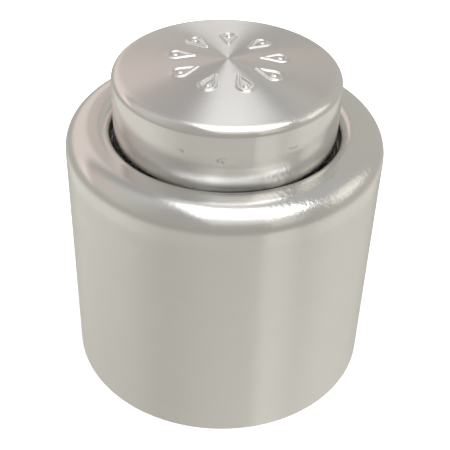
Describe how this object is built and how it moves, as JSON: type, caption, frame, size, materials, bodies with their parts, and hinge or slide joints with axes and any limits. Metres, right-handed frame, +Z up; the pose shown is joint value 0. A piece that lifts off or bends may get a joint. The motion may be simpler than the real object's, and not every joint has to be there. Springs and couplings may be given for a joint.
{
  "type": "champagne bottle stopper",
  "caption": "Aluminium bottle stopper: a sleeve with a rolled shoulder slides over a domed cap and locks hinged claws under the bottle's lip.",
  "frame": {"origin": "centre of the base, on the plane that the stopper stands on", "axes": "+Z up along the stopper's axis, from the bottle side to the cap; +X through claw 1"},
  "size_m": [0.0478, 0.0478, 0.052],
  "materials": {
    "sleeve": "machine-turned, slightly grained on the shoulder",
    "cap": "turned, with a pressed ornament",
    "liner": "moulded, satin",
    "friction_ring": "matt",
    "spring_steel": "drawn wire and stamped strip",
    "carrier": "moulded, satin",
    "pin": "ground",
    "claw": "moulded, satin",
    "plunger": "moulded, satin",
    "gasket": "food-grade silicone, matt",
    "screw": "bright"
  },
  "bodies": {
    "core": {"cap_shell": "cap", "claw_carrier": "carrier", "hinge_pin_1": "pin", "hinge_pin_2": "pin", "hinge_pin_3": "pin", "hinge_pin_4": "pin", "hinge_pin_5": "pin", "hinge_pin_6": "pin", "opening_ring": "spring_steel", "thrust_washer": "spring_steel", "seal_spring": "spring_steel"},
    "sleeve": {"sleeve_shell": "sleeve", "cam_liner": "liner", "guide_bush": "liner", "friction_ring": "friction_ring", "retaining_ring": "spring_steel"},
    "claw_1_body": {"claw_1": "claw"},
    "claw_2_body": {"claw_2": "claw"},
    "claw_3_body": {"claw_3": "claw"},
    "claw_4_body": {"claw_4": "claw"},
    "claw_5_body": {"claw_5": "claw"},
    "claw_6_body": {"claw_6": "claw"},
    "seal": {"seal_plunger": "plunger", "gasket": "gasket", "gasket_washer": "screw", "gasket_screw": "screw", "stem_clip": "spring_steel"}
  },
  "joints": [
    {"name": "sleeve_slide", "type": "slide", "parent": "core", "child": "sleeve", "axis": [0, 0, 1], "range_m": [0, 0.0084]},
    {"name": "claw_1_hinge", "type": "hinge", "parent": "core", "child": "claw_1_body", "pos_m": [0.0181, 0, 0.0273], "axis": [0, -1, 0], "range_deg": [0, 5.42]},
    {"name": "claw_2_hinge", "type": "hinge", "parent": "core", "child": "claw_2_body", "pos_m": [0.00905, 0.01568, 0.0273], "axis": [0.866, -0.5, 0], "range_deg": [0, 5.42]},
    {"name": "claw_3_hinge", "type": "hinge", "parent": "core", "child": "claw_3_body", "pos_m": [-0.00905, 0.01568, 0.0273], "axis": [0.866, 0.5, 0], "range_deg": [0, 5.42]},
    {"name": "claw_4_hinge", "type": "hinge", "parent": "core", "child": "claw_4_body", "pos_m": [-0.0181, 0, 0.0273], "axis": [0, 1, 0], "range_deg": [0, 5.42]},
    {"name": "claw_5_hinge", "type": "hinge", "parent": "core", "child": "claw_5_body", "pos_m": [-0.00905, -0.01568, 0.0273], "axis": [-0.866, 0.5, 0], "range_deg": [0, 5.42]},
    {"name": "claw_6_hinge", "type": "hinge", "parent": "core", "child": "claw_6_body", "pos_m": [0.00905, -0.01568, 0.0273], "axis": [-0.866, -0.5, 0], "range_deg": [0, 5.42]},
    {"name": "seal_slide", "type": "slide", "parent": "core", "child": "seal", "axis": [0, 0, 1], "range_m": [0, 0.002], "stiffness_N_per_m": 1960, "deforming": ["seal_spring"]}
  ],
  "couplings": [
    {"joint": "claw_1_hinge", "follows": "sleeve_slide", "rad_per_m": 11.257},
    {"joint": "claw_2_hinge", "follows": "sleeve_slide", "rad_per_m": 11.257},
    {"joint": "claw_3_hinge", "follows": "sleeve_slide", "rad_per_m": 11.257},
    {"joint": "claw_4_hinge", "follows": "sleeve_slide", "rad_per_m": 11.257},
    {"joint": "claw_5_hinge", "follows": "sleeve_slide", "rad_per_m": 11.257},
    {"joint": "claw_6_hinge", "follows": "sleeve_slide", "rad_per_m": 11.257}
  ]
}
